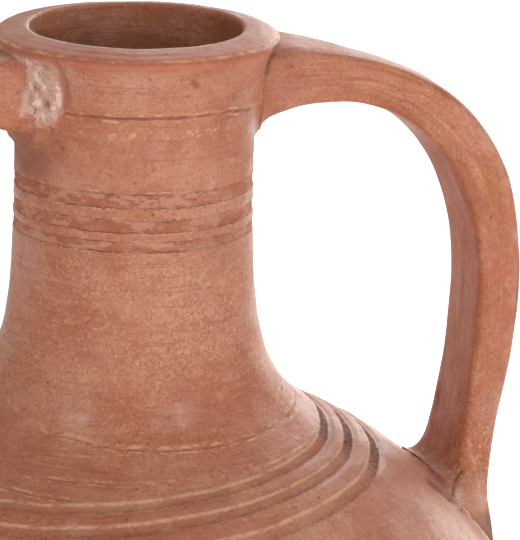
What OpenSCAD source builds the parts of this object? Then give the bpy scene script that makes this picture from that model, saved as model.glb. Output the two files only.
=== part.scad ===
// Tall two-handled terracotta vase: a thrown body with a ring-grooved neck and shoulder, and two
// pulled strap handles luted on under the rim and on the shoulder, fired together as one piece.
// The origin is the centre of the foot, the axis is Z and the handles stand at +X and -X.

/* [Overall] */
// Height from the foot to the crest of the lip
height = 480; // [450:1:510]
// Greatest diameter of the belly
belly_d = 340; // [320:1:360]
// Height of the belly's widest place above the foot
belly_h = 190; // [175:1:205]
// Diameter of the flat foot
foot_d = 170; // [150:1:190]
// Angle of the lower wall at the foot, from upright
foot_angle = 33; // [25:1:40]
// Thickness of the thrown wall
wall = 9; // [7:0.5:10.5]
// Thickness of the floor
floor_t = 12; // [9:0.5:16]

/* [Rim and neck] */
// Diameter of the mouth
mouth_d = 88; // [84:1:90]
// Radius of the rounding from the throat up to the crest of the lip
lip_r = 2.4; // [1.6:0.2:3]
// Outer diameter of the rim
rim_d = 116; // [113:1:120]
// Fall of the rim's upper face from the crest to its outer edge
rim_fall = 1.6; // [1:0.1:2.4]
// Radius of the rim's rounded outer edge
rim_edge_r = 2.4; // [1.8:0.1:3]
// Diameter of the collar where it runs out under the rim
collar_d = 110; // [107:0.5:112]
// Drop from the lip to the top of the collar
collar_drop = 9.5; // [8.5:0.5:11]
// Outward lean of the collar where it meets the rim, from upright
collar_lean = 22; // [16:1:28]
// Narrowest diameter of the neck
neck_d = 96.4; // [93:0.2:99]
// Drop from the lip to the narrowest place of the neck
waist_drop = 78; // [70:1:90]

/* [Shoulder] */
// Diameter where the neck has opened out into the shoulder
shoulder_d = 170; // [160:1:180]
// Drop from the lip to the start of the shoulder
shoulder_drop = 165.5; // [158:0.5:174]
// Slope of the shoulder where it starts, below level
shoulder_slope = 25; // [18:1:32]

/* [Turned grooves] */
// Drop from the lip to the middle of the upper of the three neck grooves
neck_groove_drop = 61; // [57:0.5:65]
// Distance between the neck grooves
neck_groove_pitch = 9.6; // [8:0.1:11]
// Width of a neck groove
neck_groove_w = 4.2; // [3:0.1:5]
// Depth of a neck groove
neck_groove_depth = 1.2; // [0.8:0.1:1.6]
// Drop from the lip to the fine line that is scored round the collar
collar_line_drop = 26.5; // [23:0.5:30]
// Width of the fine lines on the collar and at the foot of the neck
fine_line_w = 1.4; // [1:0.1:2]
// Diameter of the fine line at the foot of the neck
neck_foot_line_d = 141; // [137:1:145]
// Diameter of the first of the three wide rings on the shoulder
ring_d = 180; // [176:1:186]
// Distance between the shoulder's rings, measured along the radius
ring_pitch = 10.5; // [9:0.5:12]
// Width of a ring's groove
ring_w = 5; // [4:0.1:6]
// Depth of a ring's groove
ring_depth = 1.6; // [1:0.1:2]

/* [Handles] */
// Clear gap between the neck's narrowest place and the inside of the handle
handle_gap = 100; // [88:1:108]
// Thickness of the strap where it bows out furthest
strap_t = 19.5; // [16:0.5:22]
// Width of the strap
strap_w = 34; // [30:1:38]
// Radius of the strap's softened long edges
strap_edge_r = 5; // [3:0.5:7]
// Width of the handle where it is luted on under the rim
top_root_w = 46; // [41:1:50]
// Height of the handle where it is luted on under the rim
top_root_h = 41.5; // [37:0.5:45]
// Width of the handle where it is luted on the shoulder
low_root_w = 48; // [42:1:54]
// Drop from the lip to the underside of the handle's level top
arch_drop = 32.5; // [30:0.5:35]
// Drop from the lip to the place where the strap bows out furthest
bow_drop = 117.5; // [110:0.5:126]

/* [Hidden] */
$fn = 96;

// Radii and heights that the driving sizes give
foot_r = foot_d / 2;
belly_r = belly_d / 2;
neck_r = neck_d / 2;
collar_r = collar_d / 2;
mouth_r = mouth_d / 2;
rim_r = rim_d / 2;
collar_z = height - collar_drop;
waist_z = height - waist_drop;

// How far each curve runs on in its end direction before it bends
collar_pull = 18;
waist_pull_up = 30;
waist_pull_down = 51;
neck_foot_pull = 29;
shoulder_pull = 64;
belly_pull_up = 45;
belly_pull_down = 80;
foot_pull = 45;
arm_pull = [69, -4.4];
bow_pull_up = 85;
bow_pull_down = 46;
low_root_pull_out = [-10, 68];
fillet_pull_up = [5.5, 12];
fillet_pull_in = 20;
arch_pull_out = 37;
inner_bow_pull_up = 55;
inner_bow_pull_down = 38;
low_root_pull_in = [21, -17];

// Straight steps along each curve of the section, and along and round a handle
neck_steps = 12;
shoulder_steps = 18;
low_steps = 16;
edge_steps = 5;
ring_count = 36;
corner_steps = 4;

// Rounding of the foot's edge
foot_edge_r = 4;
// Gap from the rim's underside down to the handle's upper face, and how far out its arch starts
top_root_clear = 2.1;
arch_out = 32;
// The strap's outside bows out furthest a little higher than its inside
bow_lift = 2.5;
// Where the handle's two edges land on the shoulder's curve, counted from the belly up
outer_root_at = 0.28;
inner_root_at = 0.72;
// Share of the outer curve that lies over the fillet, and the length of the widening at each end
arm_share = 0.2;
top_flare = 1.4;
low_flare = 0.8;

function bezier(p, t) =
    pow(1 - t, 3) * p[0] + 3 * pow(1 - t, 2) * t * p[1] + 3 * (1 - t) * t * t * p[2] + pow(t, 3) * p[3];
function curve(p, steps) = [for (i = [0:steps]) bezier(p, i / steps)];
function arc(centre, r, from, to, steps) =
    [for (i = [0:steps]) let (a = from + (to - from) * i / steps) centre + r * [cos(a), sin(a)]];
function reversed(points) = [for (i = [len(points) - 1:-1:0]) points[i]];
function unit(v) = v / norm(v);
// Turns a direction a quarter turn to its left
function left_of(v) = [-v[1], v[0]];
// Moves every point of a line sideways by d, square to the line through its neighbours
function shifted(points, d) = let (last = len(points) - 1)
    [for (i = [0:last]) points[i] + d * left_of(unit(points[min(i + 1, last)] - points[max(i - 1, 0)]))];

// The thrown body's side, from the foot up
foot_top = [foot_r, foot_edge_r];
belly = [belly_r, belly_h];
shoulder = [shoulder_d / 2, height - shoulder_drop];
uphill = [-cos(shoulder_slope), sin(shoulder_slope)];
waist = [neck_r, waist_z];
low_curve = [foot_top, foot_top + foot_pull * [sin(foot_angle), cos(foot_angle)],
    belly - [0, belly_pull_down], belly];
shoulder_curve = [belly, belly + [0, belly_pull_up], shoulder - shoulder_pull * uphill, shoulder];
neck_curve = [shoulder, shoulder + neck_foot_pull * uphill, waist - [0, waist_pull_down], waist];
collar_top = [collar_r, collar_z];
collar_curve = [waist, waist + [0, waist_pull_up],
    collar_top - collar_pull * [sin(collar_lean), cos(collar_lean)], collar_top];
low_side = curve(low_curve, low_steps);
shoulder_side = curve(shoulder_curve, shoulder_steps);
neck_side = curve(neck_curve, neck_steps);
collar_side = curve(collar_curve, neck_steps);
side = concat(low_side, shoulder_side, neck_side, collar_side);

// Radius of the neck at height z, and height of the shoulder at radius r
function neck_radius(z) = lookup(z, [for (p = concat(neck_side, collar_side)) [p[1], p[0]]]);
function shoulder_height(r) = lookup(r, [for (p = reversed(concat(shoulder_side, neck_side))) p]);
// Direction that the shoulder faces at radius r, above level
function facing_at(r) = 90 - atan2(shoulder_height(r - 1) - shoulder_height(r + 1), 2);

// Half section of the solid body, before it is hollowed
module body_section() {
    crest = [mouth_r + lip_r, height];
    rim_centre = [rim_r - rim_edge_r, height - rim_fall - rim_edge_r];
    polygon(concat(
        [[0, 0]],
        arc([foot_r - foot_edge_r, foot_edge_r], foot_edge_r, -90, -20, edge_steps),
        side,
        arc(rim_centre, rim_edge_r, -35, 75, edge_steps),
        arc(crest - [0, lip_r], lip_r, 80, 180, edge_steps),
        [[0, height - lip_r]]));
}

// A groove of width w and depth d, cut at a point of the section into a side that faces the angle facing
module groove(at, facing, w, d) {
    translate(at) rotate(facing)
        polygon([[d, -w / 2 - d / 2], [d, w / 2 + d / 2], [-d, w / 2 - d / 2], [-d, d / 2 - w / 2]]);
}

// The rings that the potter turned into the collar, the neck and the shoulder
module turned_grooves() {
    line_z = height - collar_line_drop;
    line_r = neck_foot_line_d / 2;
    groove([neck_radius(line_z), line_z], 0, fine_line_w, fine_line_w / 2);
    groove([line_r, shoulder_height(line_r)], facing_at(line_r), fine_line_w, fine_line_w / 2);
    for (i = [0:2]) {
        z = height - neck_groove_drop - i * neck_groove_pitch;
        r = ring_d / 2 + i * ring_pitch;
        groove([neck_radius(z), z], 0, neck_groove_w, neck_groove_depth);
        groove([r, shoulder_height(r)], facing_at(r), ring_w, ring_depth);
    }
}

// Half section of the hollow: the side moved inwards by the wall, from the floor up and out of the mouth
module hollow_section() {
    inner = [for (p = shifted(side, wall)) if (p[1] > floor_t + wall) p];
    polygon(concat(
        [[0, floor_t], [inner[0][0] - wall, floor_t]],
        inner,
        [[mouth_r, height - lip_r], [mouth_r, height + lip_r], [0, height + lip_r]]));
}

// Outer and inner edge of a handle's centre plane, as functions of the way s along it: 0 is at the
// rim, 1 at the level top's underside, 2 where it bows out furthest and 3 on the shoulder.
top_root_r = neck_r - wall / 2;
top_root_z = height - rim_fall - 2 * rim_edge_r - top_root_clear;
reach = neck_r + handle_gap + strap_t;
outer_bow = [reach, height - bow_drop + bow_lift];
inner_bow = [reach - strap_t, height - bow_drop - bow_lift];
arch = [neck_r + arch_out, height - arch_drop];
outer_root = sunk_point(shoulder_curve, outer_root_at);
inner_root = sunk_point(shoulder_curve, inner_root_at);
arm_start = [top_root_r, top_root_z];
fillet_start = [top_root_r, top_root_z - top_root_h];
outer_top = [arm_start, arm_start + arm_pull, outer_bow + [0, bow_pull_up], outer_bow];
outer_low = [outer_bow, outer_bow - [0, bow_pull_down], outer_root + low_root_pull_out, outer_root];
inner_fillet = [fillet_start, fillet_start + fillet_pull_up, arch - [fillet_pull_in, 0], arch];
inner_top = [arch, arch + [arch_pull_out, 0], inner_bow + [0, inner_bow_pull_up], inner_bow];
inner_low = [inner_bow, inner_bow - [0, inner_bow_pull_down], inner_root + low_root_pull_in, inner_root];

// A point of a curve, moved into the middle of the wall
function sunk_point(p, t) = let (along = unit(bezier(p, t + 0.01) - bezier(p, t)))
    bezier(p, t) + wall / 2 * left_of(along);
function outer_edge(s) =
    s < 1 ? bezier(outer_top, arm_share * s)
    : s < 2 ? bezier(outer_top, arm_share + (1 - arm_share) * (s - 1))
    : bezier(outer_low, s - 2);
function inner_edge(s) =
    s < 1 ? bezier(inner_fillet, s) : s < 2 ? bezier(inner_top, s - 1) : bezier(inner_low, s - 2);
// The strap is widest where it is pressed onto the rim and the shoulder
function handle_width(s) = strap_w
    + (top_root_w - strap_w) * pow(max(0, 1 - s / top_flare), 2)
    + (low_root_w - strap_w) * pow(max(0, (s - 3 + low_flare) / low_flare), 2);

// One cross section of the handle: a rectangle with rounded corners, set square to the strap
function strap_ring(s) =
    let (outer = outer_edge(s), inner = inner_edge(s), middle = (outer + inner) / 2)
    let (across = unit(outer - inner), half_t = norm(outer - inner) / 2, half_w = handle_width(s) / 2)
    [for (corner = [0:3], i = [0:corner_steps])
        let (a = 90 * corner + 90 * i / corner_steps)
        let (u = (half_t - strap_edge_r) * (corner == 0 || corner == 3 ? 1 : -1) + strap_edge_r * cos(a))
        let (v = (half_w - strap_edge_r) * (corner < 2 ? 1 : -1) + strap_edge_r * sin(a))
        [middle[0] + u * across[0], v, middle[1] + u * across[1]]];

module handle() {
    n = 4 * (corner_steps + 1);
    rings = [for (k = [0:ring_count]) strap_ring(3 * k / ring_count)];
    points = [for (ring = rings, p = ring) p];
    walls = [for (k = [0:ring_count - 1], i = [0:n - 1])
        let (a = k * n + i, b = k * n + (i + 1) % n)
        each [[a, b, b + n], [a, b + n, a + n]]];
    start_cap = [for (i = [1:n - 2]) [0, i + 1, i]];
    last = ring_count * n;
    end_cap = [for (i = [1:n - 2]) [last, last + i, last + i + 1]];
    polyhedron(points, concat(walls, start_cap, end_cap));
}

module vase() {
    color("#b9755a")
        difference() {
            union() {
                rotate_extrude() difference() {
                    body_section();
                    turned_grooves();
                }
                for (turn = [0, 180]) rotate(turn) handle();
            }
            rotate_extrude() hollow_section();
        }
}

vase();
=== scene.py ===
import math

import bpy
import numpy as np
from mathutils import Matrix, Vector, noise
from mathutils.bvhtree import BVHTree


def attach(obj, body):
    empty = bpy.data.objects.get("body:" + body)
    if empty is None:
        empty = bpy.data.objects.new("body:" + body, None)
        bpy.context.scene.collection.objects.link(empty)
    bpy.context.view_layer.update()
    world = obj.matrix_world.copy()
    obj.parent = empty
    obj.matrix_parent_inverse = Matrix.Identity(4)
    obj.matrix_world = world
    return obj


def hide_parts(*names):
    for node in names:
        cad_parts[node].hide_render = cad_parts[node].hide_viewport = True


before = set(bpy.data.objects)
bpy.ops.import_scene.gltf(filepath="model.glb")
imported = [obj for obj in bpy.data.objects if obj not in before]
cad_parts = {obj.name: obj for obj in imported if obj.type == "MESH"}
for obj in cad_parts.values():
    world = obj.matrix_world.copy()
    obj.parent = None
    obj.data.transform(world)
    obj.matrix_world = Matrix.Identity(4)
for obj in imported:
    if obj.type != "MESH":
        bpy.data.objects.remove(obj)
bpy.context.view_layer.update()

# The thrown body
# The body is thrown on a wheel in one piece from red earthenware, with a wall about 9 mm thick: a small
# flat foot, a full belly, a round shoulder and a tall neck that flares into a thick rim. It is unglazed.
# Its half section is drawn from the foot's middle up, over the rim and down the inside, and then spun.
height, wall, floor_thick = 480, 9, 12
mouth_r, lip_r, rim_r, foot_edge_r = 43, 1.3, 58, 4
floor_corner_height, floor_corner_reach, throat_height = 7, 8, 452
foot_top, belly, shoulder = np.array([85, 4]), np.array([170, 190]), np.array([85, 314.5])
waist, collar_top = np.array([48.7, 414]), np.array([55, 470.5])
rim_edge, rim_top = [rim_r, 475.8], [48, 479.5]


def heading(degrees):
    """A direction in the section, counted from level outwards, anticlockwise."""
    return np.array([math.cos(math.radians(degrees)), math.sin(math.radians(degrees))])


def bezier(points, steps=300):
    """A curve from the first of four points to the last, which the two between them pull its way."""
    p = np.array(points, float)
    t = np.linspace(0, 1, steps)[:, None]
    return (1 - t) ** 3 * p[0] + 3 * (1 - t) ** 2 * t * p[1] + 3 * (1 - t) * t * t * p[2] + t ** 3 * p[3]


def arc(centre, radius, first, last, steps=24):
    """A round stretch between two directions."""
    return np.array([centre + radius * heading(a) for a in np.linspace(first, last, steps)])


side = np.vstack([
    bezier([foot_top, foot_top + 45 * heading(57), belly - [0, 80], belly]),
    bezier([belly, belly + [0, 45], shoulder - 64 * heading(155), shoulder])[1:],
    bezier([shoulder, shoulder + 34 * heading(153), waist - [0, 66], waist])[1:],
    bezier([waist, waist + [0, 30], collar_top - 18 * heading(68), collar_top])[1:]])
way_up = np.gradient(side, axis=0)
way_up /= np.linalg.norm(way_up, axis=1)[:, None]
inner_side = side + wall * np.stack([-way_up[:, 1], way_up[:, 0]], 1)
above_floor = inner_side[:, 1] > floor_thick + floor_corner_height
inner_side = inner_side[above_floor & (side[:, 1] < throat_height)]
throat = bezier([inner_side[-1], inner_side[-1] + [0, 8], [mouth_r - 0.2, 461], [mouth_r, height - lip_r]])
section = np.vstack([
    [[0, 0]],
    arc([foot_top[0] - foot_edge_r, foot_edge_r], foot_edge_r, -90, -20),
    side,
    bezier([collar_top, [55.8, 472.5], [rim_r, 473.8], rim_edge], 16)[1:],
    bezier([rim_edge, [rim_r, 477.4], [54, 478.7], rim_top], 24)[1:],
    arc([mouth_r + lip_r, height - lip_r], lip_r, 80, 180),
    throat[::-1],
    inner_side[::-1],
    [[inner_side[0][0] - floor_corner_reach, floor_thick], [0, floor_thick]]])

# The rings of the mesh up the outside: up to each of these heights, the gap between one and the next
gaps_outside = ((0.5, 16), (150, 10), (200, 8), (296, 4), (321, 0.8), (328, 1.0), (340, 2),
                (394, 3), (423, 0.9), (444, 1.6), (457, 1.1), (472, 1.1), (height + 1, 0.8))


def ring_gap(z, inside):
    """Distance to the next ring of the mesh: small where the surface has detail, in millimetres."""
    if inside:
        return 2 if z > 440 else 24
    return next(gap for top, gap in gaps_outside if z < top)


lengths = np.concatenate([[0], np.cumsum(np.linalg.norm(np.diff(section, axis=0), axis=1))])
lip_length = lengths[np.argmax(section[:, 1])]
drawn, reach = [section[0]], 0.0
while reach < lengths[-1] - 1:
    reach = min(reach + ring_gap(drawn[-1][1], reach > lip_length + 4), lengths[-1])
    drawn.append(np.array([np.interp(reach, lengths, section[:, i]) for i in (0, 1)]))
drawn[-1] = section[-1]

bpy.ops.object.select_all(action="DESELECT")
bpy.ops.mesh.primitive_plane_add(size=0.01, location=(0, 0, 0))
body = bpy.context.object
body.name = "vase_body"
bpy.ops.object.mode_set(mode="EDIT")
bpy.ops.mesh.select_mode(type="VERT")
bpy.ops.mesh.merge(type="CENTER")
for here, there in zip(drawn[:-1], drawn[1:]):
    move = (there - here) / 1000
    bpy.ops.mesh.extrude_vertices_move(TRANSFORM_OT_translate={"value": (move[0], 0, move[1])})
bpy.ops.mesh.select_all(action="SELECT")
bpy.ops.mesh.spin(steps=280, angle=2 * math.pi, center=(0, 0, 0), axis=(0, 0, 1))
bpy.ops.mesh.select_all(action="SELECT")
bpy.ops.mesh.remove_doubles(threshold=0.00002)
bpy.ops.mesh.normals_make_consistent(inside=False)
bpy.ops.mesh.select_all(action="DESELECT")
bpy.ops.mesh.select_mode(type="FACE")
bpy.ops.object.mode_set(mode="OBJECT")
# The mesh is finer where the feet of the handles are smeared onto the shoulder
for face in body.data.polygons:
    x, y, z = face.center
    on_outside = 0.2 < z < 0.302 and math.hypot(x, y) > 0.1
    face.select = on_outside and abs(y) < 0.048 and 0.1 < abs(x) < 0.18
bpy.ops.object.mode_set(mode="EDIT")
bpy.ops.mesh.subdivide(number_cuts=1)
bpy.ops.object.mode_set(mode="OBJECT")


def take(piece, what="co"):
    """The piece's vertices in millimetres, or its vertex normals, as an array."""
    values = np.empty(3 * len(piece.data.vertices))
    piece.data.vertices.foreach_get(what, values)
    return values.reshape(-1, 3) * (1000 if what == "co" else 1)


def put(piece, points, **marks):
    """Gives a piece its vertices, in millimetres, and marks for the clay, a number or a vector at each."""
    piece.data.vertices.foreach_set("co", (points / 1000).astype(float).ravel())
    for name, values in marks.items():
        kind, key = ("FLOAT", "value") if values.ndim == 1 else ("FLOAT_VECTOR", "vector")
        if name not in piece.data.attributes:
            piece.data.attributes.new(name, kind, "POINT")
        piece.data.attributes[name].data.foreach_set(key, values.astype(float).ravel())
    piece.data.update()


def lumps(points, size, seed, stretch=(1, 1, 1)):
    """Uneven value between about -1 and 1 at each point, with lumps of this size in millimetres."""
    spread_out = points / size / np.array(stretch) + [seed * 7.3, seed * -3.1, seed * 11.7]
    return 1.5 * np.array([noise.noise(Vector(p)) for p in spread_out])


def ragged(angle, grain, seed):
    """Uneven value between about -1 and 1 that changes every few degrees on the way round the axis."""
    round_it = np.arange(0, 360, 0.4)
    radius = 57.3 / grain
    table = []
    for a in round_it:
        turned = math.radians(a)
        table.append(noise.noise(Vector((radius * math.cos(turned), radius * math.sin(turned), seed * 5.3))))
    return 1.5 * np.interp(angle, round_it, np.array(table), period=360)


def step(value, low, high):
    """Smooth step from 0 at low to 1 at high."""
    t = np.clip((value - low) / (high - low), 0, 1)
    return t * t * (3 - 2 * t)


def hump(value, middle, width):
    """1 at the middle, and 0 well away from it."""
    return np.exp(-((value - middle) / width) ** 2)


def dent(place, at, down, long, across, tilt=0):
    """1 in the middle of a mark that is long by across millimetres, turned by tilt, and 0 away from it."""
    angle, drop, r = place
    u = ((angle - at + 180) % 360 - 180) * np.pi / 180 * r
    w = -(drop - down)
    c, s = math.cos(math.radians(tilt)), math.sin(math.radians(tilt))
    return np.exp(-((u * c + w * s) / long * 2) ** 2 - ((w * c - u * s) / across * 2) ** 2)


# The handles
# Each handle is a strap of the same clay, pulled by hand to about 34 by 19 mm, bent into an arch and
# luted on under the rim and on the shoulder with slip. Its ends are spread and smeared onto the body.
# A rounded section is extruded along the arch, ring by ring, and smoothed.
strap_w, top_root_w, low_root_w, foot_flare = 34, 32, 38, 16
arm_start, fillet_start = np.array([43.7, 471.5]), np.array([43.7, 430])
arch, outer_bow, inner_bow = np.array([80.2, 447.5]), np.array([167.7, 365]), np.array([148.2, 360])
outer_root, inner_root = np.array([159.4, 227.2]), np.array([123.5, 283.4])
outer_top = bezier([arm_start, arm_start + [69, -4.4], outer_bow + [0, 85], outer_bow], 1001)
outer_low = bezier([outer_bow, outer_bow - [0, 46], outer_root + [-10, 68], outer_root], 501)
inner_fillet = bezier([fillet_start, fillet_start + [5.5, 12], arch - [20, 0], arch], 501)
inner_top = bezier([arch, arch + [37, 0], inner_bow + [0, 55], inner_bow], 1001)
inner_low = bezier([inner_bow, inner_bow - [0, 38], inner_root + [21, -17], inner_root], 501)

# How much fuller than these curves the clay is, in millimetres, at some places along the strap
inner_fuller = ((0, 0), (0.4, 2.3), (1.2, 1.9), (1.4, 0.9), (1.7, 0.2), (2.0, -0.3),
                (2.3, 1.2), (2.42, 2.2), (2.52, 1.6), (2.64, 0.6), (2.85, 0))
outer_fuller = ((0, 0.4), (0.12, 1.1), (0.5, 0.8), (0.9, 0), (2.3, 0), (2.52, -1.7),
                (2.68, -1.7), (2.75, -0.9), (2.82, 2.6), (2.9, 3.0), (3, 1))
# Smoothing draws the section in, so it starts this much larger, and its corners are this square
extra_thick, extra_wide, squareness = 1.02, 1.03, 0.34


def strap_edges(s):
    """Outer and inner edge at s, which is 0 at the rim, 1 on the arch, 2 at the bow, 3 on the shoulder."""
    # The first 200 steps of the outer curve lie over the inner fillet, and the next 800 over the inner arch
    if s < 1:
        return outer_top[int(200 * s)], inner_fillet[int(500 * s)]
    if s < 2:
        return outer_top[int(200 + 800 * (s - 1))], inner_top[int(1000 * (s - 1))]
    return outer_low[int(500 * (s - 2))], inner_low[int(500 * (s - 2))]


def strap_frame(s):
    """Middle, thickness, width and slope of the strap's section at s."""
    outer, inner = strap_edges(s)
    inward = (inner - outer) / np.linalg.norm(inner - outer)
    inner = inner + inward * np.interp(s, *zip(*inner_fuller))
    outer = outer - inward * np.interp(s, *zip(*outer_fuller))
    width = strap_w + (top_root_w - strap_w) * max(0, 1 - s / 0.6)
    width += (low_root_w - strap_w) * min(1, max(0, s - 2.1) / 0.6)
    width += foot_flare * min(1, max(0, s - 2.58) / 0.3) ** 2
    lean = math.atan2(outer[1] - inner[1], outer[0] - inner[0])
    return (outer + inner) / 2, np.linalg.norm(outer - inner) * extra_thick, width * extra_wide, lean


def in_round(middle):
    """A point of the strap's side view, as a place in the scene."""
    return (middle[0] / 1000, 0, middle[1] / 1000)


# The section is drawn at each of these places along the strap
stops = np.concatenate([np.linspace(0, 1, 17), np.linspace(1, 2, 41)[1:], np.linspace(2, 3, 29)[1:]])
middle, thick, wide, lean = strap_frame(0)
bpy.ops.object.select_all(action="DESELECT")
bpy.ops.mesh.primitive_circle_add(vertices=28, radius=0.5, location=(0, 0, 0))
right_handle = bpy.context.object
right_handle.name = "vase_handle_right"
for v in right_handle.data.vertices:
    u, w = v.co.x * 2, v.co.y * 2
    v.co = (math.copysign(abs(u) ** squareness, u) / 2, math.copysign(abs(w) ** squareness, w) / 2, 0)
bpy.ops.object.mode_set(mode="EDIT")
bpy.ops.mesh.select_all(action="SELECT")
bpy.ops.mesh.edge_face_add()
bpy.ops.transform.resize(value=(thick / 1000, wide / 1000, 1), center_override=(0, 0, 0))
bpy.ops.transform.translate(value=in_round(middle))
bpy.ops.transform.rotate(value=lean, orient_axis="Y", center_override=in_round(middle))
for s in stops[1:]:
    last_middle, last_thick, last_wide, last_lean = middle, thick, wide, lean
    middle, thick, wide, lean = strap_frame(s)
    move = Vector(in_round(middle - last_middle))
    bpy.ops.mesh.extrude_region_move(TRANSFORM_OT_translate={"value": move})
    bpy.ops.transform.rotate(value=lean - last_lean, orient_axis="Y", center_override=in_round(middle))
    own_axes = Matrix.Rotation(-lean, 3, "Y")
    bpy.ops.transform.resize(value=(thick / last_thick, wide / last_wide, 1), orient_matrix=own_axes,
                             orient_matrix_type="GLOBAL", orient_type="GLOBAL",
                             center_override=in_round(middle))
bpy.ops.mesh.select_all(action="SELECT")
bpy.ops.mesh.normals_make_consistent(inside=False)
bpy.ops.object.mode_set(mode="OBJECT")
smooth = right_handle.modifiers.new("smooth", "SUBSURF")
smooth.levels = smooth.render_levels = 2
bpy.ops.object.modifier_apply(modifier=smooth.name)


def along_strap(points):
    """For each point: s, the length along the strap, and the way out from its middle, both in millimetres."""
    line = np.array([strap_frame(s)[0] for s in np.linspace(0, 3, 500)])
    length = np.concatenate([[0], np.cumsum(np.linalg.norm(np.diff(line, axis=0), axis=1))])
    flat = np.stack([np.abs(points[:, 0]), points[:, 2]], 1)
    near = []
    for part in np.array_split(flat, 40):
        near.append(((part[:, None] - line[None]) ** 2).sum(2).argmin(1))
    near = np.concatenate(near)
    way = np.gradient(line, axis=0)[near]
    way /= np.linalg.norm(way, axis=1)[:, None]
    further = ((flat - line[near]) * way).sum(1)
    out = ((flat - line[near]) * np.stack([-way[:, 1], way[:, 0]], 1)).sum(1)
    return near / 499 * 3, length[near] + further, out


# The foot is spread wider, most on the right handle's near side, and bent round the body
points = take(right_handle)
s, _, out = along_strap(points)
spread_by = np.where(points[:, 1] < 0, 0.5, 0.1)
points[:, 1] *= 1 + spread_by * step(s, 2.5, 2.88) * step(-out, -12, 6)
turned, share = points[:, 1] / points[:, 0], step(s, 2.6, 2.95)
points[:, 1] += share * (points[:, 0] * np.sin(turned) - points[:, 1])
points[:, 0] *= 1 - share * (1 - np.cos(turned))
# The lower part of the upper root is drawn in
by_neck = (points[:, 0] < 64) * step(-points[:, 0], -64, -52)
points[:, 1] *= 1 - 0.55 * step(-points[:, 2], -449, -432) * by_neck
# The upper side is twisted a little: low at the front by the rim, and low at the back on the way to the bow
x, twist = points[:, 0], points[:, 1] / 17 * step(out, -3, 5) * (points[:, 2] > 400)
front_drop = 2.6 * (1 - step(x, 54, 68)) * (twist < 0)
back_rise = 1.4 * (1 - step(x, 62, 90)) * (twist > 0)
points[:, 2] += twist * (front_drop + back_rise)
points[:, 2] -= np.maximum(twist, 0) * 4 * hump(x, 106, 12.5)
put(right_handle, points)
bpy.ops.object.duplicate()
left_handle = bpy.context.object
left_handle.name = "vase_handle_left"
bpy.ops.transform.rotate(value=math.pi, orient_axis="Z", center_override=(0, 0, 0))
bpy.ops.object.transform_apply(location=True, rotation=True, scale=True)
handles = [right_handle, left_handle]

# The luting
# The strap's ends are pressed onto the leather-hard body and worked down with wet clay, so that each joint
# is a hollow fillet: tight under the rim, wide under the arch and at the foot of the strap. Body and strap
# both rise towards the joint, and go on a little past it inside the other, so that the two overlap.
overlap, seam_reach, tight_fillet, find_reach = 0.0014, 0.0016, 0.005, 0.02


def tree_of(piece):
    """The piece's faces, in a form that finds the nearest one quickly."""
    corners = [v.co for v in piece.data.vertices]
    return BVHTree.FromPolygons(corners, [p.vertices for p in piece.data.polygons])


def fillet_size(p):
    """Radius of the clay fillet at a point, in millimetres."""
    x, y, z = abs(p[0]) * 1000, p[1] * math.copysign(1000, p[0]), p[2] * 1000
    if z > 400:
        return float(np.interp(z, [424, 434, 450, 462, 470], [6, 8, 9, 6 if y > 0 else 4, 4]))
    return 11 if y < 20 else float(np.interp(x, [118, 134], [5, 11]))


def fuse(piece, others):
    """The piece's points after the luting, in millimetres, and 1 along a tight joint, where painted shade
    marks the seam.
    """
    points, facing = take(piece) / 1000, take(piece, "normal")
    rise, seam = np.zeros(len(points)), np.zeros(len(points))
    # Only points near the handles' ends are tried
    from_axis, height_up = np.abs(points[:, 0]), points[:, 2]
    by_rim = (height_up > 0.4) & (from_axis < 0.085)
    by_foot = (height_up < 0.33) & (height_up > 0.2)
    near_joint = (np.abs(points[:, 1]) < 0.05) & (from_axis > 0.03) & (by_rim | by_foot)
    for tree in others:
        for i in np.nonzero(near_joint)[0]:
            p = Vector(points[i])
            spot, out, _, far = tree.find_nearest(p, find_reach)
            if spot is None:
                continue
            size = fillet_size(p) / 1000
            # 0 where the two surfaces run side by side, and 1 where they meet at an angle
            corner = min(1, 2 * (1 - max(0, Vector(facing[i]).dot(out))))
            into = overlap * min(1, max(0, (size - 0.004) / 0.003))
            if (p - spot).dot(out) < 0:
                rise[i] = max(rise[i], corner * (into - far))
                continue
            if far < size:
                filled = min(far + into, (math.sqrt(size) - math.sqrt(far)) ** 2)
                rise[i] = max(rise[i], corner * filled)
            # Along a tight joint, the seam is marked for painted shade
            if far < seam_reach and size < tight_fillet:
                seam[i] = max(seam[i], (1 - far / seam_reach) * min(1, (tight_fillet - size) / 0.003))
    return 1000 * (points + facing * rise[:, None]), np.clip(seam, 0, 1)


body_tree = tree_of(body)
fused = [fuse(body, [tree_of(h) for h in handles])] + [fuse(h, [body_tree]) for h in handles]
for piece, (points, seam) in zip([body] + handles, fused):
    put(piece, points, seam=seam)
    piece.data.polygons.foreach_set("use_smooth", [True] * len(piece.data.polygons))

# What the hand and the rib leave in the body's clay
# The soft clay keeps unevenness, throwing lines, torn grooves, ragged lines and three cut rings that aren't
# quite level. Angles are counted from the right handle, anticlockwise from above, drops from the crest of
# the lip, and the angle called seen from the right of the picture, so that it is -90 nearest the camera.

# How far right and up in the picture 1 mm along x, along y and along z goes, at two places
sight_at_foot = ((0.915, 0.103), (-0.404, 0.292), (0.025, 0.951))
sight_by_rim = ((0.930, 0.058), (-0.367, 0.214), (0.025, 0.975))
foot_corner, rim_corner = [136.6, -24, 281.8], [56, -14, 455]
foot_crack = [(-10.9, 0.1), (-5.9, -4.1), (-1.3, -8.3)]
rim_crack = [(0.6, 17.5), (-1.4, 12.5), (-3.1, 8.7), (-3.9, 4.9)]


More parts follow.
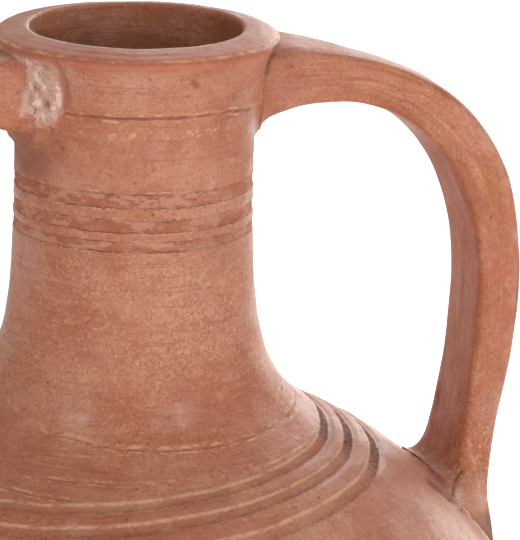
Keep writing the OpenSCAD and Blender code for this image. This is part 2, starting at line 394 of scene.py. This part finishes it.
def scored(points, start, sight, track, width):
    """1 along a line cut into the near side, counted right and up from its start in mm, and 0 elsewhere."""
    flat, away = (points - start) @ np.array(sight), np.full(len(points), 99.0)
    for a, b in zip(np.array(track[:-1], float), np.array(track[1:], float)):
        share = np.clip((flat - a) @ (b - a) / ((b - a) @ (b - a)), 0, 1)
        away = np.minimum(away, np.linalg.norm(flat - a - share[:, None] * (b - a), axis=1))
    return np.exp(-(away / width) ** 2) * (points[:, 1] < -8)


def open_joint(points):
    """The short stretches where the right handle's joint stays open: by the rim, and at the foot's corner."""
    by_rim = scored(points, rim_corner, sight_by_rim, rim_crack, 0.8)
    at_foot = scored(points, foot_corner, sight_at_foot, foot_crack, 0.7)
    return np.maximum(by_rim, at_foot)


points, facing = take(body), take(body, "normal")
x, y, z = points.T
r, drop, angle = np.hypot(x, y), height - z, np.degrees(np.arctan2(y, x)) % 360
place, seen = (angle, drop, r), (angle + 200) % 360 - 180
outside = (r > np.interp(z, side[:, 1], side[:, 0]) - 4) & (z > 1)
inside = ~outside & (z > floor_thick + 2)
on_shoulder = outside & (z < 345) & (z > 270)
# Marks for the colour: slip with painted light and shade, painted shade in creases and pits, and bare torn
# clay
dust, crease, bare = np.zeros(len(z)), np.zeros(len(z)), np.zeros(len(z))

# Slow unevenness and throwing lines, which are stronger inside
rise = 0.4 * lumps(points, 60, 1) + 0.18 * lumps(points, 16, 2, (1, 1, 0.6))
rise += 0.1 * lumps(points, 7, 3, (3, 3, 0.5)) + 0.05 * lumps(points, 3.2, 4, (4, 4, 0.5))
rise += inside * 0.35 * lumps(points, 9, 5, (6, 6, 0.7))

# Three shallow torn grooves round the neck: drop, and share of the dip behind
neck_grooves = ((60.9, 1), (71.8, 0.5), (79.7, 0.6))
dip = 1.2 * (1 - np.cos(np.radians(seen + 85)))
neck_off = []
for i, (down, share) in enumerate(neck_grooves):
    off = drop - down - dip * share - 0.35 * ragged(angle, 50, 10 + i)
    rise -= 0.35 * (1 - step(np.abs(off), 1.9, 2.8)) * outside
    rise += 0.2 * hump(np.abs(off), 3.2, 0.8) * np.maximum(0, ragged(angle, 5, 40 + i)) * outside
    neck_off.append(off)

# Three cut rings on the shoulder: radius, swing to one side, where each one grows shallow, and by how much
cut_rings = ((91.3, 12.5, 0, 0), (101, 12.5, -29, 0.55), (113.3, 14, -21.5, 0.85))
swing = np.cos(np.radians(seen + 153))
ring_off = []
for i, (ring_r, swing_out, fade_at, fade) in enumerate(cut_rings):
    off = r - ring_r - swing_out * swing - 0.35 * ragged(angle, 14, 90 + i)
    cut = (1 - step(np.where(off > 0, 0.48 * off, -off), 1.3, 2.2)) * on_shoulder
    fading = 1 - fade * hump(seen, fade_at, 5.5)
    depth = 0.65 + 0.4 * step(seen, -32, -8)
    rise -= depth * cut * fading * (1 - 0.5 * step(-seen, 92, 130) * (seen < 0))
    rise += 0.3 * hump(off, -3.1, 0.9) * on_shoulder * (0.5 + 0.5 * ragged(angle, 7, 93 + i))
    ring_off.append(off)

# Slip smeared round the root of the left handle, which ends in a ragged edge
pad = np.sqrt(dent(place, 205, 20, 26, 34)) * outside * step(drop, 3, 8)
pad *= step(-angle - 9 * step(drop, 22, 42), -218, -214) * (1 - step(drop, 32, 39))

# The fine lines: how far each point is from one in millimetres, how faint it is there, and its depth
from_front = (seen + 72 + 180) % 360 - 180
closing = np.where(from_front < 0, 15, 8)
collar_line = drop - 27.2 - 3 * step(seen, -62, -5) ** 1.5 + 0.4 * ragged(angle, 30, 71)
shoulder_line = r - 71.5 + closing * (1 - np.cos(np.radians(from_front)))
lines = [
    (collar_line, step(seen, -18, -4), 0.4),
    (drop - 34.1 + 0.3 * ragged(angle, 30, 75), 0.3 + step(np.abs(seen + 75), 25, 55), 0.15),
    (shoulder_line, 0.2 + 0.8 * step(np.abs(from_front), 35, 62), 0.32),
    (r - 76 - 9 * np.cos(np.radians(seen + 95)), 0.3 + step(np.abs(seen + 50), 20, 45), 0.2),
    (r - 86.2 + 0.02 * (seen + 100), 0.2 + step(np.abs(seen + 100), 10, 24), 0.2),
    (r - 95.2 - 0.1 * (seen + 112), 0.2 + step(np.abs(seen + 112), 8, 18), 0.2),
    (r - 63 + 0.12 * (seen + 9), 0.1 + step(np.abs(seen + 9), 8, 16), 0.3),
    (r - 68.6 + 0.06 * (seen + 12), 0.1 + step(np.abs(seen + 12), 9, 17), 0.3)]
line = np.full(len(z), 9.0)
for i, (off, faint, depth) in enumerate(lines):
    where = outside if i < 2 else on_shoulder
    off = off - 0.25 * ragged(angle, 4, 100 + i)
    line = np.where(where, np.minimum(line, np.abs(off) + 1.5 * faint + 3 * pad), line)
    rise -= where * depth * hump(off, 0, 0.9) * np.clip(1 - faint, 0, 1)
    rise += where * 0.9 * depth * hump(off, -1.6, 0.9) * np.clip(1 - faint, 0, 1)

# The torn outer edge of the rim's top, a painted highlight on the mouth's edge, painted shade that makes the
# rim's top redder and darker, and where the clay is sandier
torn = hump(r - 56.3 - 0.3 * ragged(angle, 5, 80), 0, 0.7) * (drop < 6) * outside
rise -= 0.35 * torn * (0.7 + 0.6 * ragged(angle, 3, 81))
bare += torn * np.clip(0.8 + 0.9 * ragged(angle, 6, 82), 0, 1)
worn = hump(r, 44, 0.9) * (drop < 2) * (z > 400) * (1 - step(seen, -50, 0))
ruddy = (1 - step(drop, 4, 8)) * step(r, 44, 46.5) * (1 - 0.7 * step(np.abs(seen), 150, 172))
sandy_neck = 0.65 * step(drop, 80, 92) * (1 - step(drop, 122, 150))
sand = 0.35 + sandy_neck + 0.25 * step(drop, 185, 230)
# Painted shade in the cut rings' floors, on the side to the right as seen
brown = step(seen, -24, -9) * (1 - step(seen, 70, 120))

# The gouge and pits on the collar: angle, drop, length, breadth, tilt and depth
pits = ((276.5, 13.6, 6, 1.8, -40, 1.5), (207, 24.6, 3.0, 3.4, 0, 2.2), (210, 8.5, 2.4, 2, 0, 1.2),
        (208, 34.9, 1.4, 4, 10, 1.1), (214, 41.8, 1.5, 2.4, 20, 0.8), (211, 38.5, 1, 1, 0, 0.5),
        (256, 10.5, 1.6, 1.2, 0, 0.5), (243, 16, 1.4, 1, 0, 0.4), (262, 19, 1.2, 1.2, 0, 0.5),
        (300, 21, 1.6, 1.2, 0, 0.5), (206, 12, 1.2, 2.4, 20, 0.7), (202, 18, 1.2, 3, -10, 0.6))
for at, down, long, broad, tilt, depth in pits:
    hole = dent(place, at, down, long, broad, tilt) * outside
    rise -= depth * hole
    # Painted shade in each pit
    crease += 0.85 * hole

# The pad of slip is lumpy and has a cut edge. Under it, and at one place on the neck, painted shade darkens
# the clay; the throat has a paler patch on its far side, and dried slip dusts three places on the neck
edge = outside * hump(angle + 0.025 * (drop - 15) ** 2, 218.5, 1.7) * (1 - step(np.abs(drop - 14), 6, 13))
rise += pad * (1.2 + 0.7 * lumps(points, 7, 33) + 0.3 * lumps(points, 2.8, 34)) - 0.9 * edge
dust += pad * (1.0 + 0.35 * lumps(points, 5, 35))
# Painted shade under the left handle's root, and at one place on the neck
dust -= 1.2 * dent(place, 184, 49, 44, 20) * outside * (1 - pad)
dust -= 0.45 * outside * dent(place, 292, 82, 34, 34)
dust += 0.28 * inside * dent(place, 42, 12, 30, 16) * (0.6 + lumps(points, 3, 39))
pale = dent(place, 272, 145, 34, 20) + dent(place, 233, 148, 26, 16) + dent(place, 228, 93, 20, 16)
dust += 0.3 * outside * pale * (1 + 0.5 * lumps(points, 9, 38))
# Painted shadow along the pad's cut edge
crease += 0.5 * edge

# The open stretches of the right handle's joints, with painted shade in them, and slip wiped down the body
# under each handle's foot
cut = open_joint(points) * outside
rise -= 0.6 * cut
crease += cut
for at in (0, 180):
    tongue = dent(place, at, 248, 62, 46) * outside
    rise += tongue * (2.6 + 0.5 * lumps(points, 12, 37))

# Painted shade darkens the throat below the lip, less so in one patch on its far side
sooty = inside * (0.25 + 0.75 * step(drop, 1, 16)) * (0.8 + 0.3 * lumps(points, 9, 36, (1, 1, 0.5)))
sooty *= 1 - 0.55 * hump(angle, 32, 28) * (1 - step(drop, 12, 40))


def phase(off, before, after):
    """The distance from the middle groove of three, counted in grooves, and 4 or -4 well away from them."""
    counted = np.clip(np.where(off < 0, off / before, off / after), -4, 4)
    return np.where(inside, -4, np.where(z < 190, 4, counted))


put(body, points + facing * rise[:, None], dust=dust, crease=crease, bare=bare, sooty=sooty, line=line,
    neck=phase(neck_off[1], 10.9, 7.9), ring=phase(ring_off[1], 9.7, 12.3 + 1.5 * swing), brown=brown,
    worn=worn, ruddy=ruddy, grain=sand, thrown=np.ones(len(z)), run=points / 1000)

# What pulling leaves in the straps
# A strap is drawn out between wet fingers, which leaves lines along it and slow unevenness. Slip from the
# luting dries on it in pale patches, and small nicks are left where it was handled. Painted highlights and
# painted shade lighten and darken it in places.

# Nicks, in millimetres: how far along the strap, how far across it, length, breadth and depth
nicks = ((118, 6, 7, 1.5, 0.8), (176, -9, 12, 1.2, 0.6), (231, 3, 5, 2, 0.7), (269, -12, 16, 1.3, 0.8),
         (318, 8, 9, 1.3, 0.7), (338, -6, 6, 2, 0.6), (84, -8, 6, 2, 0.5))
# Where a smear of slip ends at the right handle's foot: a furrow, and the ridge beside it
furrow_track = [(3.3, 4.7), (1.2, 1.8), (0.4, -0.3), (-0.5, -3.7), (-0.5, -6.6)]
ridge_track = [(4.5, 3.3), (2.6, 0.9), (1.9, -0.7), (1.1, -3.8), (1.1, -6.4)]


def pull_marks(piece, seed):
    """Marks one strap: seed is 1 for the right handle and 2 for the left one."""
    points, facing = take(piece), take(piece, "normal")
    x, y, z = points.T
    s, along, out = along_strap(points)
    run = np.stack([along, np.full(len(out), 40.0 * seed), y + out], 1)
    rise = 0.35 * lumps(points, 34, seed) + 0.22 * lumps(run, 9, seed + 1, (5, 1, 1))
    rise += 0.12 * lumps(run, 3, seed + 2, (12, 1, 1)) + 0.12 * lumps(points, 12, seed + 3)
    rise *= step(s, 0.1, 0.5) * (1 - 0.7 * step(s, 2.7, 3))
    crease = np.zeros(len(s))
    thrown = 1 - step(s, 0.2, 0.5) * (1 - step(s, 2.86, 2.98))
    # Pale slip with painted highlights, and below 0 painted shade
    dust = slip_on_strap(points, s, out, seed)
    # Each nick is dented, with painted shade in it
    for start, at, long, broad, depth in nicks:
        nick = np.exp(-((run[:, 0] - start) / long) ** 2 - ((run[:, 2] - at) / broad) ** 2)
        rise -= depth * nick
        crease += 0.5 * nick
    # On the right handle, the furrow and the open joints get painted shade
    if seed == 1:
        furrow = scored(points, foot_corner, sight_at_foot, furrow_track, 0.6)
        ridge = scored(points, foot_corner, sight_at_foot, ridge_track, 1.0)
        rise += 0.4 * ridge - 0.7 * furrow - 0.6 * open_joint(points)
        crease += 0.7 * furrow + open_joint(points)
    # Painted shade on the foot's lower end
    crease += 0.2 * foot_face(points, s)
    away = np.full(len(s), 9.0)
    sand = 0.4 + 0.9 * step(s, 2.35, 2.55) * (1 - step(s, 2.78, 2.88))
    put(piece, points + facing * rise[:, None], run=run / 1000, crease=crease, dust=dust, neck=away,
        ring=away, line=away, thrown=thrown, grain=sand)


def foot_face(points, s):
    """1 on the lower end of the foot, which is painted darker: painted shade on the flare that faces down."""
    return step(-points[:, 2] - 0.4 * (np.abs(points[:, 0]) - 129), -281, -273) * (s > 2.6)


def slip_on_strap(points, s, out, seed):
    """How much pale slip and painted highlight lies on the strap, and below 0 where painted shade darkens it.
    """
    x, y, z = points.T
    left = seed == 2
    # The left handle's part of the smeared pad, with a ragged lower edge and painted shade below it
    slip = 1 - step(s + 0.08 * lumps(points, 7, seed + 5), 0.18, 0.4)
    slip *= (1 + 0.35 * lumps(points, 5, seed + 4)) * (y * x > 0)
    slip *= left * (1 - step(4 * lumps(points, 6, 40) - z, -451, -445))
    slip -= 0.9 * left * step(-z, -446, -440) * (s < 0.9) * (1 - step(np.abs(x), 56, 64))
    # On the side of each handle that is the near one on the right: a painted highlight along its outer edge,
    # and a paler band just above the foot
    front = (y * x < 0) * (1 + 0.3 * lumps(points, 6, seed + 6))
    upper_slip = 0.28 * step(out, 1, 7) * step(s, 1.3, 1.5) * (1 - step(s, 2.3, 2.5))
    lower_slip = 0.25 * step(s, 2.6, 2.72) * (1 - step(s, 2.8, 2.9)) * (not left)
    slip += front * (upper_slip + lower_slip)
    # Painted light where the foot meets the body, lightening the shade in the groove there, and painted shade
    # on the inner side between arch and bow
    low_joint = 1 - step(np.hypot(x, y) - np.interp(z, side[:, 1], side[:, 0]), 1, 6)
    slip += 0.55 * low_joint * (s > 2.5) * step(-out, -4, 2) * (y * x < 200)
    return slip - foot_face(points, s) - 0.5 * step(-out, 3, 7) * hump(s, 1.6, 0.18)


for piece, seed in zip(handles, (1, 2)):
    pull_marks(piece, seed)

# The clay
# The clay fires to a soft orange red. It is mottled: pinkish where slip dried on it, tan and grainy where
# the sand shows, raw and rough in the bottoms of the cut rings. Painted shade darkens creases, pits, seams,
# the throat and some hollows, and painted highlights lighten some edges and lips.
clay = bpy.data.materials.new("red_clay")
clay.use_nodes = True
nodes, links = clay.node_tree.nodes, clay.node_tree.links
shader = nodes["Principled BSDF"]
place_on_clay = nodes.new("ShaderNodeTexCoord").outputs["Object"]
along_clay = nodes.new("ShaderNodeAttribute")
along_clay.attribute_name = "run"


def paint(red, green, blue):
    """A colour from its values between 0 and 255."""
    shares = [v / 255 for v in (red, green, blue)]
    return tuple(v / 12.92 if v < 10 / 255 else ((v + 0.055) / 1.055) ** 2.4 for v in shares) + (1,)


def spread(size, stretch, seed):
    """Coordinates for a pattern of this size in mm. A stretched one follows the wheel or the strap."""
    mapping = nodes.new("ShaderNodeMapping")
    mapping.inputs["Location"].default_value = (seed * 1.7, seed * -2.3, seed * 0.9)
    mapping.inputs["Scale"].default_value = [1000 / size / v for v in stretch]
    follows = place_on_clay if stretch == (1, 1, 1) else along_clay.outputs["Vector"]
    links.new(follows, mapping.inputs["Vector"])
    return mapping.outputs["Vector"]


def clouds(seed, size, roughness=0.65, stretch=(1, 1, 1), detail=4):
    """Soft uneven pattern."""
    texture = nodes.new("ShaderNodeTexNoise")
    texture.inputs["Scale"].default_value = 1
    texture.inputs["Detail"].default_value = detail
    texture.inputs["Roughness"].default_value = roughness
    links.new(spread(size, stretch, seed), texture.inputs["Vector"])
    return texture.outputs["Fac"]


def grains(seed, size):
    """Distance to the nearest of many scattered points, and a value that is uniform in each one's cell."""
    texture, parts = nodes.new("ShaderNodeTexVoronoi"), nodes.new("ShaderNodeSeparateColor")
    texture.inputs["Scale"].default_value = 1
    links.new(spread(size, (1, 1, 1), seed), texture.inputs["Vector"])
    links.new(texture.outputs["Color"], parts.inputs["Color"])
    return texture.outputs["Distance"], parts.outputs["Red"]


def mark(name):
    """One of the marks that were put on the pieces' points."""
    node = nodes.new("ShaderNodeAttribute")
    node.attribute_name = name
    return node.outputs["Fac"]


def ramp(value, low, high, first=0.0, last=1.0):
    """A smooth change from first, where the value is low, to last, where it is high."""
    node = nodes.new("ShaderNodeMapRange")
    node.interpolation_type = "SMOOTHSTEP"
    for name, number in (("From Min", low), ("From Max", high), ("To Min", first), ("To Max", last)):
        node.inputs[name].default_value = number
    links.new(value, node.inputs["Value"])
    return node.outputs["Result"]


def combine(how, *values):
    """Adds, multiplies and so on, one value after another."""
    result = values[0]
    for value in values[1:]:
        node = nodes.new("ShaderNodeMath")
        node.operation = how
        for part, socket in zip((result, value), node.inputs):
            if isinstance(part, (int, float)):
                socket.default_value = part
            else:
                links.new(part, socket)
        result = node.outputs["Value"]
    return result


def over(below, colour, *shares):
    """Lays a colour over another one, by the product of shares that may change over the surface."""
    share = combine("MULTIPLY", *shares)
    node = nodes.new("ShaderNodeMix")
    node.data_type = "RGBA"
    for value, socket in ((share, node.inputs[0]), (below, node.inputs[6]), (paint(*colour), node.inputs[7])):
        if isinstance(value, tuple):
            socket.default_value = value
        else:
            links.new(value, socket)
    return node.outputs[2]


def across_bands(name, pitch):
    """Distance in millimetres from the middle of the nearest of three bands."""
    counted = mark(name)
    whole = nodes.new("ShaderNodeMath")
    whole.operation = "ROUND"
    links.new(counted, whole.inputs[0])
    nearest = combine("MAXIMUM", combine("MINIMUM", whole.outputs["Value"], 1), -1)
    return combine("MULTIPLY", combine("SUBTRACT", counted, nearest), pitch)


def away_from(value, middle):
    """How far a value is from its middle one, without the sign."""
    return combine("ABSOLUTE", combine("SUBTRACT", value, middle), 0)


# The ground: mottling, lines that the wheel and the pulling leave, sand, and dark specks
_, grit = grains(5, 0.62)
_, tone = grains(6, 1.15)
sandy = combine("MULTIPLY", mark("grain"), ramp(clouds(3, 34, 0.6), 0.4, 0.6))
colour = over(paint(178, 104, 72), (192, 128, 97), ramp(clouds(1, 46, 0.6, detail=5), 0.38, 0.62))
on_strap = combine("SUBTRACT", 1, mark("thrown"))
colour = over(colour, (190, 104, 62), on_strap, 0.4)
colour = over(colour, (150, 80, 54), on_strap, ramp(clouds(41, 3.4, 0.6, (14, 1, 1)), 0.5, 0.7, 0, 0.7))
colour = over(colour, (222, 160, 116), on_strap, ramp(clouds(42, 4.6, 0.6, (12, 1, 1)), 0.54, 0.74, 0, 0.6))
colour = over(colour, (164, 92, 64), ramp(clouds(2, 15, 0.6, (1, 1, 0.45)), 0.5, 0.68, 0, 0.55))
colour = over(colour, (196, 140, 120), ramp(clouds(4, 24, 0.6), 0.5, 0.68, 0, 0.5))
colour = over(colour, (206, 156, 116), ramp(clouds(21, 8, 0.7, (1, 1, 0.6)), 0.54, 0.68, 0, 0.4))
colour = over(colour, (222, 174, 128), sandy, ramp(grit, 0.55, 1.0, 0, 0.5))
colour = over(colour, (214, 164, 124), mark("grain"), ramp(tone, 0.7, 1.0, 0, 0.4))
colour = over(colour, (126, 68, 48), ramp(grit, 0.35, 0.0, 0, 0.34))
colour = over(colour, (140, 80, 58), ramp(clouds(7, 1.7, detail=3), 0.52, 0.7, 0, 0.4))
colour = over(colour, (150, 84, 58), ramp(clouds(8, 36, 0.65, (1, 1, 0.045)), 0.52, 0.72, 0, 0.42))
colour = over(colour, (212, 160, 122), ramp(clouds(22, 30, 0.65, (1, 1, 0.04)), 0.58, 0.76, 0, 0.4))
to_speck, _ = grains(9, 9)
colour = over(colour, (84, 48, 38), ramp(to_speck, 0.035, 0.08, 0.75, 0))

# The neck's grooves: a raw floor with skins of slip, painted shade along the edges and a painted highlight on
# the lip
torn_edge = combine("MULTIPLY", combine("SUBTRACT", clouds(23, 2.4, 0.6), 0.5), 2.6)
neck_side = combine("ADD", combine("ABSOLUTE", across_bands("neck", 9.4), 0), torn_edge)
neck_floor = ramp(neck_side, 2.1, 2.8, 1, 0)
neck_edge = ramp(away_from(neck_side, 2.5), 0.1, 0.5, 1, 0)
skin = ramp(clouds(24, 11, 0.66, (1, 1, 0.45)), 0.5, 0.55)
colour = over(colour, (160, 88, 62), neck_floor,
              ramp(clouds(32, 15, 0.7, (1, 1, 0.4)), 0.38, 0.6, 0.15, 0.75))
colour = over(colour, (200, 148, 124), neck_floor, skin, 0.55)
# Painted highlight on the lip beside each groove
neck_lip = ramp(away_from(neck_side, 3.1), 0.1, 0.5, 1, 0)
colour = over(colour, (224, 176, 144), neck_lip, ramp(clouds(36, 6), 0.52, 0.6), 0.45)
# Painted shade along the grooves' edges
colour = over(colour, (118, 66, 46), neck_edge, ramp(clouds(25, 13), 0.46, 0.62), 0.6)

# The shoulder's rings: a raw floor, paler towards the upper wall as painted highlight and darker towards the
# lower one as painted shade, a painted highlight on the upper edge, painted shade along the lower edge, and
# painted shade in the floors on one side, speckled with grit
ring_side = combine("ADD", across_bands("ring", 11), combine("MULTIPLY", torn_edge, 0.55))
ring_floor = ramp(combine("ABSOLUTE", ring_side, 0), 1.8, 2.5, 1, 0)
ring_low = combine("MULTIPLY", ramp(away_from(ring_side, 2.1), 0.15, 0.9, 1, 0), 0.45)
ring_top = combine("MULTIPLY", ramp(combine("ABSOLUTE", combine("ADD", ring_side, 2.1), 0), 0.1, 1.0, 1, 0),
                   ramp(clouds(26, 9, 0.7), 0.34, 0.54, 0.25, 1))
# The raw floor's tan, stronger towards the upper wall as painted highlight
colour = over(colour, (190, 138, 110), ring_floor, ramp(ring_side, 1.4, -0.8, 0.05, 0.4),
              ramp(clouds(33, 5, 0.75), 0.35, 0.65, 0.1, 1))
# Painted shade in the lower part of each floor
colour = over(colour, (132, 78, 58), ring_floor, ramp(ring_side, -0.2, 1.9, 0, 0.3),
              ramp(clouds(46, 3, 0.75), 0.35, 0.6, 0.3, 1))
# Painted shade: the floors on one side are dark brown, with dark and pale specks of grit
colour = over(colour, (122, 62, 42), ring_floor, mark("brown"),
              ramp(clouds(27, 2.2, 0.7), 0.35, 0.6, 0.65, 1))
colour = over(colour, (66, 32, 24), ring_floor, mark("brown"),
              ramp(clouds(47, 2.4, 0.7, detail=3), 0.48, 0.58, 0, 0.85))
colour = over(colour, (206, 154, 126), ring_floor, mark("brown"),
              ramp(clouds(48, 2.0, 0.7, detail=3), 0.55, 0.63, 0, 0.6))
# Painted shade along each ring's lower edge
colour = over(colour, (98, 54, 38), ring_low, ramp(clouds(34, 7, 0.75), 0.42, 0.62, 0.1, 1))
# Painted highlight along each ring's upper edge
colour = over(colour, (226, 182, 148), ring_top, 0.6)

# The fine lines, with chips of paler clay beside them
line_off = combine("ADD", mark("line"), combine("MULTIPLY", torn_edge, 0.22))
line_dark = ramp(line_off, 0.25, 0.75, 1, 0)
chips = combine("MULTIPLY", ramp(line_off, 0.7, 1.0), ramp(line_off, 2.2, 1.6),
                ramp(clouds(28, 5, 0.7), 0.5, 0.6))
colour = over(colour, (218, 166, 124), chips, mark("thrown"), 0.6)
colour = over(colour, (132, 72, 50), line_dark, mark("thrown"), ramp(clouds(35, 9), 0.34, 0.56, 0.25, 0.9))

# The rim's top, redder and darker with painted shade, its torn edge, slip with painted light and shade,
# a painted highlight on the mouth's edge, painted shade in creases and seams, and painted shade in the throat
# Painted shade: the rim's top is painted a darker, redder orange, less so on one side
colour = over(colour, (178, 86, 50), mark("ruddy"), 0.6)
colour = over(colour, (230, 168, 112), mark("bare"), ramp(clouds(29, 2.6, 0.6, detail=3), 0.4, 0.55), 0.8)
slip = mark("dust")
# Painted shade where the mark is below 0
colour = over(colour, (130, 76, 60), ramp(slip, 0, -1, 0, 0.6))
# Pale slip, together with the painted highlights and painted light on the straps
colour = over(colour, (212, 168, 150), ramp(slip, 0.05, 0.9, 0, 0.85))
# Painted highlights on the slip's lumps
colour = over(colour, (242, 218, 206), ramp(slip, 0.2, 0.9), ramp(clouds(43, 5), 0.5, 0.6), 0.7)
# Painted shade between the slip's lumps
colour = over(colour, (150, 92, 78), ramp(slip, 0.1, 0.8), ramp(clouds(44, 3.4), 0.42, 0.34), 0.5)
# Painted highlight along the front of the mouth's edge
colour = over(colour, (244, 220, 212), mark("worn"), ramp(clouds(45, 8), 0.4, 0.58), 0.7)
# Painted shade in creases, pits, nicks, the pad's edge, open joints and tight seams
colour = over(colour, (106, 50, 36), combine("MAXIMUM", mark("crease"), mark("seam")), 0.8)
# Painted shade in the throat
colour = over(colour, (106, 58, 36), mark("sooty"),
              ramp(clouds(30, 20, 0.6, (1, 1, 0.06)), 0.35, 0.65, 0.85, 0.35))
links.new(colour, shader.inputs["Base Color"])

# The finish: dull, duller where it is raw, with fine relief that is too small to model
rough = ramp(clouds(10, 20, 0.6, detail=3), 0.3, 0.7, 0.4, 0.56)
raw = combine("MULTIPLY", combine("MAXIMUM", ring_floor, neck_floor), 0.35)
rough = combine("ADD", rough, raw, ramp(slip, 0, -1, 0, 0.3))
links.new(rough, shader.inputs["Roughness"])
wheel_lines = combine("MULTIPLY", clouds(12, 30, 0.65, (1, 1, 0.05)), 0.24)
tooth = combine("MULTIPLY", clouds(11, 0.8, 0.6, detail=2), 0.14)
unevenness = combine("MULTIPLY", clouds(13, 5), 0.42)
to_pinhole, _ = grains(14, 3.0)
relief = combine("ADD", tooth, wheel_lines, unevenness,
                 ramp(to_pinhole, 0.05, 0.2, -0.2, 0),
                 combine("MULTIPLY", grit, 0.05),
                 combine("MULTIPLY", ring_floor, -0.3),
                 combine("MULTIPLY", neck_floor, -0.4),
                 combine("MULTIPLY", neck_floor, skin, 0.22),
                 combine("MULTIPLY", line_dark, mark("thrown"), -0.35),
                 combine("MULTIPLY", ring_floor, clouds(31, 1.8, 0.7), 0.9),
                 combine("MULTIPLY", ramp(slip, 0.05, 0.8), clouds(43, 4), 1.8))
bump = nodes.new("ShaderNodeBump")
bump.inputs["Strength"].default_value = 1
bump.inputs["Distance"].default_value = 0.001
links.new(relief, bump.inputs["Height"])
links.new(bump.outputs["Normal"], shader.inputs["Normal"])
shader.inputs["Specular IOR Level"].default_value = 0.42
shader.inputs["Sheen Weight"].default_value = 0.1
shader.inputs["Sheen Roughness"].default_value = 0.35
shader.inputs["Sheen Tint"].default_value = paint(244, 236, 232)
for piece in [body] + handles:
    piece.data.materials.clear()
    piece.data.materials.append(clay)
    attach(piece, "root")
    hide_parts("vase")

# The camera
# The camera stands 1.8 m away and looks down on the rim, with the handles turned 20 degrees from square.
# Its lens is long, so that the picture shows the neck, the right handle and the top of the shoulder.
turn = math.radians(20)
distance, lip_height, above_lip = 1.8, height / 1000, 0.3943
yaw, pitch, roll = math.radians(1.661), math.radians(15.387), math.radians(1.494)
sensor_height, picture_height, lens_in_pixels = 24, 540, 4577.4
spot = Vector((-math.sin(turn) * distance, -math.cos(turn) * distance, lip_height + above_lip))
forward = Vector((math.sin(yaw) * math.cos(pitch), math.cos(yaw) * math.cos(pitch), -math.sin(pitch)))
forward.rotate(Matrix.Rotation(-turn, 3, "Z"))
right = forward.cross(Vector((0, 0, 1))).normalized()
up = right.cross(forward)
across_picture = right * math.cos(roll) + up * math.sin(roll)
up_picture = up * math.cos(roll) - right * math.sin(roll)
bpy.ops.object.camera_add()
camera = bpy.context.object
camera.matrix_world = Matrix((across_picture, up_picture, -forward)).transposed().to_4x4()
camera.location = spot
camera.data.sensor_fit = "VERTICAL"
camera.data.sensor_height = sensor_height
camera.data.lens = lens_in_pixels * sensor_height / picture_height
camera.data.clip_end = 50
bpy.context.scene.camera = camera
bpy.context.scene.view_settings.view_transform = "Standard"

# The studio
# The jar stands on white paper in a white room, under a soft key light from the right, a fill from the left
# and a light from behind. The last light keeps the paper behind the jar white.
bpy.ops.mesh.primitive_plane_add(size=12)
floor = bpy.context.object
floor.name = "floor"
paper = bpy.data.materials.new("white_paper")
paper.use_nodes = True
paper_shader = paper.node_tree.nodes["Principled BSDF"]
paper_shader.inputs["Base Color"].default_value = (0.9, 0.9, 0.9, 1)
paper_shader.inputs["Emission Color"].default_value = (1, 1, 1, 1)
paper_shader.inputs["Emission Strength"].default_value = 0.35
floor.data.materials.append(paper)
world = bpy.data.worlds.new("white_studio")
bpy.context.scene.world = world
world.use_nodes = True
room = world.node_tree.nodes["Background"]
room.inputs["Color"].default_value = (1, 1, 1, 1)
room.inputs["Strength"].default_value = 0.4


def studio_light(name, place, aim, size, power):
    """A square light. place and aim are seen from the camera: x to its right, y away from it."""
    place, aim = Matrix.Rotation(-turn, 3, "Z") @ Vector(place), Matrix.Rotation(-turn, 3, "Z") @ Vector(aim)
    bpy.ops.object.light_add(type="AREA", location=place)
    lamp = bpy.context.object
    lamp.name = name
    lamp.data.energy = power
    lamp.data.size = size
    lamp.rotation_euler = (aim - place).to_track_quat("-Z", "Y").to_euler()


studio_light("key", (1.3, -1.3, 0.9), (0, 0, 0.35), 1.4, 14.5)
studio_light("fill", (-1.1, -1.9, 0.7), (0, 0, 0.35), 1.4, 10.5)
studio_light("behind", (1.0, 2.1, 0.85), (0, 0, 0.35), 1.7, 27)
studio_light("sweep", (0.4, 2.0, 1.9), (0.2, 1.7, 0), 2.2, 26)
